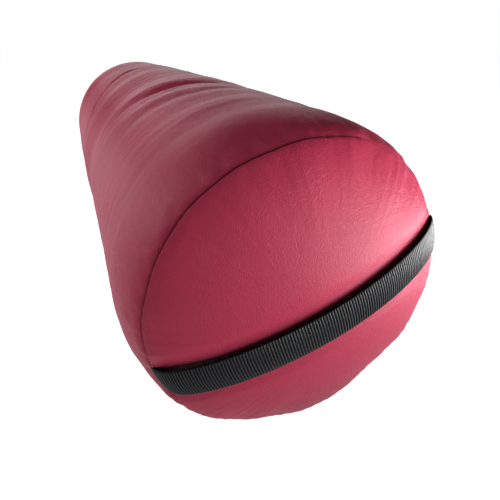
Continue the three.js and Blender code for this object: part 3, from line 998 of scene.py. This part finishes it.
def woven(name, dark, light, pitch, roughness, depth=0.00015):
    """A plain weave: two sets of yarns that cross, with uneven tone."""
    n = Nodes(name)
    scale = 1 / (pitch * 3.2)
    yarns = {"Vector": n.place, "Scale": scale, "Distortion": 0.6, "Detail": 1, "Detail Scale": 2}
    warp = n.add("ShaderNodeTexWave", yarns, bands_direction="X").outputs["Fac"]
    weft = n.add("ShaderNodeTexWave", yarns, bands_direction="DIAGONAL").outputs["Fac"]
    over = n.add("ShaderNodeMath", {0: warp, 1: weft}, operation="MAXIMUM").outputs[0]
    color = n.ramp(n.scaled_sum(over, 0.35, n.noise(120, 4)), [(0.4, dark), (0.9, light)])
    return n.set(color=color, roughness=roughness, normal=n.bump(over, 0.6, depth), specular=0.25)


def thread():
    """Twisted burgundy polyester thread."""
    n = Nodes("burgundy_thread")
    twist = {"Vector": n.place, "Scale": 500, "Distortion": 1.5}
    ply = n.add("ShaderNodeTexWave", twist, bands_direction="DIAGONAL").outputs["Fac"]
    color = n.ramp(ply, [(0.2, (0.10, 0.010, 0.020)), (0.8, (0.24, 0.022, 0.045))])
    return n.set(color=color, roughness=0.5, normal=n.bump(ply, 0.7, 0.0001), specular=0.4)


def nylon():
    """Black nylon monofilament: glossy, a little cloudy."""
    n = Nodes("black_nylon")
    cloud = n.noise(700, 2)
    color = n.ramp(cloud, [(0.3, (0.008, 0.008, 0.009)), (0.7, (0.022, 0.022, 0.025))])
    return n.set(color=color, roughness=n.spread(cloud, 0.24, 0.40), specular=0.5)


def painted_metal():
    """Black painted zinc, rubbed bright along its edges."""
    n = Nodes("black_painted_metal")
    edges = n.add("ShaderNodeNewGeometry").outputs["Pointiness"]
    scuffs = n.noise(900, 5, Roughness=0.7)
    worn = n.scaled_sum(scuffs, 0.16, edges)
    color = n.ramp(worn, [(0.62, (0.018, 0.018, 0.019)), (0.68, (0.30, 0.29, 0.27))])
    gloss = n.spread(scuffs, 0.28, 0.46)
    return n.set(color=color, roughness=gloss, normal=n.bump(scuffs, 0.15, 0.0001), metallic=0.35)


def wadding():
    """White polyester wadding: tangled fibres, soft and hazy."""
    n = Nodes("white_wadding")
    tangle = n.noise(160, 8, Roughness=0.75, Distortion=1.2)
    color = n.ramp(tangle, [(0.3, (0.70, 0.69, 0.66)), (0.65, (0.92, 0.91, 0.88))])
    return n.set(color=color, roughness=0.95, normal=n.bump(tangle, 0.8, 0.002), sheen=0.4, specular=0.1)


def foam():
    """Cream polyurethane foam: open cells of uneven size."""
    n = Nodes("cream_foam")
    cells = n.add("ShaderNodeTexVoronoi", {"Vector": n.place, "Scale": 750}).outputs["Distance"]
    shade = n.scaled_sum(cells, 0.5, n.noise(12, 3))
    color = n.ramp(shade, [(0.45, (0.60, 0.47, 0.22)), (0.95, (0.86, 0.76, 0.48))])
    return n.set(color=color, roughness=0.95, normal=n.bump(cells, 0.9, 0.0006), specular=0.15)


def wear(obj, material):
    obj.data.materials.clear()
    obj.data.materials.append(material)
    return obj


# Camera and light

def aim(obj, target):
    obj.rotation_euler = (Vector(target) - obj.location).to_track_quat("-Z", "Y").to_euler()


def camera():
    data = bpy.data.cameras.new("camera")
    obj = new_object("camera", data)
    seam = Vector((FRONT_SEAM, 0, AXIS_Z))
    obj.location = seam + Vector(CAMERA_PLACE) * SEAM_R
    yaw, pitch = math.radians(CAMERA_YAW), math.radians(CAMERA_PITCH)
    look = Vector((math.cos(pitch) * math.cos(yaw), math.cos(pitch) * math.sin(yaw), math.sin(pitch)))
    aim(obj, obj.location + look)
    data.sensor_width = 36
    data.lens = CAMERA_LENS
    data.clip_start = 0.01
    bpy.context.scene.camera = obj


def area_light(name, width, height, radiance):
    data = bpy.data.lights.new(name, "AREA")
    data.shape = "RECTANGLE"
    data.size = width
    data.size_y = height
    data.energy = radiance * math.pi * width * height
    return new_object(name, data)


def soft_box(name, azimuth, elevation, distance, width, height, radiance):
    """An area light turned to the handle's end of the bolster."""
    obj = area_light(name, width, height, radiance)
    turn, lift = math.radians(azimuth), math.radians(elevation)
    way = Vector((math.cos(lift) * math.cos(turn), math.cos(lift) * math.sin(turn), math.sin(lift)))
    target = Vector((FRONT_SEAM, 0, AXIS_Z))
    obj.location = target + way * distance
    aim(obj, target)


def table_glow():
    """Light that comes up off the table, in front of the handle's end on the zip's side."""
    obj = area_light("table_glow", *GLOW_SIZE, GLOW_RADIANCE)
    obj.location = GLOW_PLACE
    obj.rotation_euler = (math.pi, 0, math.radians(GLOW_TURN))


def surroundings():
    """A white horizon under a dim ceiling."""
    world = bpy.data.worlds.new("studio")
    world.use_nodes = True
    tree = world.node_tree
    place = tree.nodes.new("ShaderNodeTexCoord")
    split = tree.nodes.new("ShaderNodeSeparateXYZ")
    ramp = tree.nodes.new("ShaderNodeValToRGB")
    tree.links.new(place.outputs["Generated"], split.inputs[0])
    tree.links.new(split.outputs["Z"], ramp.inputs["Fac"])
    tree.links.new(ramp.outputs["Color"], tree.nodes["Background"].inputs["Color"])
    first, last = ramp.color_ramp.elements
    first.position = 0.09
    first.color = (1, 1, 1, 1)
    last.position = 0.24
    last.color = (0.08, 0.08, 0.08, 1)
    tree.nodes["Background"].inputs["Strength"].default_value = 1.0
    bpy.context.scene.world = world


def studio():
    look = bpy.context.scene.view_settings
    look.view_transform = "Standard"
    look.gamma = CONTRAST
    surroundings()
    floor = new_mesh("floor", [(-40, -40, 0), (40, -40, 0), (40, 40, 0), (-40, 40, 0)], [[0, 1, 2, 3]])
    n = Nodes("light_table")
    n.shader.inputs["Emission Color"].default_value = (1, 1, 1, 1)
    n.shader.inputs["Emission Strength"].default_value = 0.97
    wear(floor, n.set(color=(0.25, 0.25, 0.25, 1), roughness=0.9, specular=0.0))
    table_glow()
    for light in LIGHTS:
        soft_box(*light)


# Assembly

def show(obj, body, material, replaced=None):
    """Finishes a piece: what it is made of, the body it rides on, if any, and the node it stands for."""
    wear(obj, material)
    if body:
        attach(obj, body)
    if replaced:
        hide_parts(replaced)
    return obj


def cover():
    burgundy = leather()
    tube = thicken(cover_tube(), LEATHER)
    show(tube, "bolster", burgundy, "cover_tube")
    for front, end, seed in ((True, "front", 5), (False, "back", 8)):
        panel = thicken(end_panel(f"end_panel_{end}", front, panel_puckers(seed), seed), LEATHER)
        show(panel, "bolster", burgundy, f"cover_end_{end}")


def handle():
    black = webbing()
    strap = show(handle_webbing(), None, black, "handle_strap")
    # its ends stay sewn in the seam while its arch swings
    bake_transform(strap)
    for side, name in ((-1, "left"), (1, "right")):
        show(webbing_tail(f"webbing_tail_{name}", side), "bolster", black, f"strap_tail_{name}")


def closure():
    twist = thread()
    tape = woven("black_zip_tape", (0.006, 0.006, 0.007), (0.02, 0.02, 0.023), 0.5 * MM, 0.8)
    filament = nylon()
    metal = painted_metal()
    for front, end in ((True, "front"), (False, "back")):
        show(seam_stitches(f"seam_stitches_{end}", front), "bolster", twist, f"seam_thread_{end}")
    for side, name in ((1, "lower"), (-1, "upper")):
        woven_tape = zip_tape(f"woven_tape_{name}", f"zip_tape_{name}", side)
        show(woven_tape, "bolster", tape, f"zip_tape_{name}")
        show(zip_coil(f"nylon_coil_{name}", side), "bolster", filament, f"zip_coil_{name}")
        show(zip_stitches(f"stitch_row_{name}", side), "bolster", twist, f"zip_stitch_{name}")
        stop = cast(f"top_stop_{name}", f"zip_top_stop_{name}")
        show(stop, "bolster", metal, f"zip_top_stop_{name}")
    show(cast("bottom_stop", "zip_bottom_stop"), "bolster", metal, "zip_bottom_stop")
    show(cast("slider_body", "zip_slider", 0.22 * MM), "slider", metal, "zip_slider")
    show(cast("slider_pull", "zip_pull"), "pull", metal, "zip_pull")


def filling():
    cloth = woven("cream_liner", (0.66, 0.63, 0.57), (0.83, 0.81, 0.76), 0.45 * MM, 0.9)
    fluff = wadding()
    core = foam()
    bag = filling_sleeve("liner_bag", LINER_INSET, 5 * MM, LINER)
    show(bag, "bolster", cloth, "liner_sleeve")
    roll = filling_sleeve("wadding_roll", WADDING_INSET, 7 * MM, WADDING)
    show(roll, "bolster", fluff, "wadding_wrap")
    show(foam_core(FOAM_INSET), "bolster", core, "foam_core")
    for front, end in ((True, "front"), (False, "back")):
        cap = filling_end(f"liner_cap_{end}", f"liner_end_{end}", front, LINER)
        show(cap, "bolster", cloth, f"liner_end_{end}")
        pad = filling_end(f"wadding_cap_{end}", f"wadding_end_{end}", front, 0)
        show(pad, "bolster", fluff, f"wadding_end_{end}")


camera()
studio()
cover()
handle()
closure()
filling()
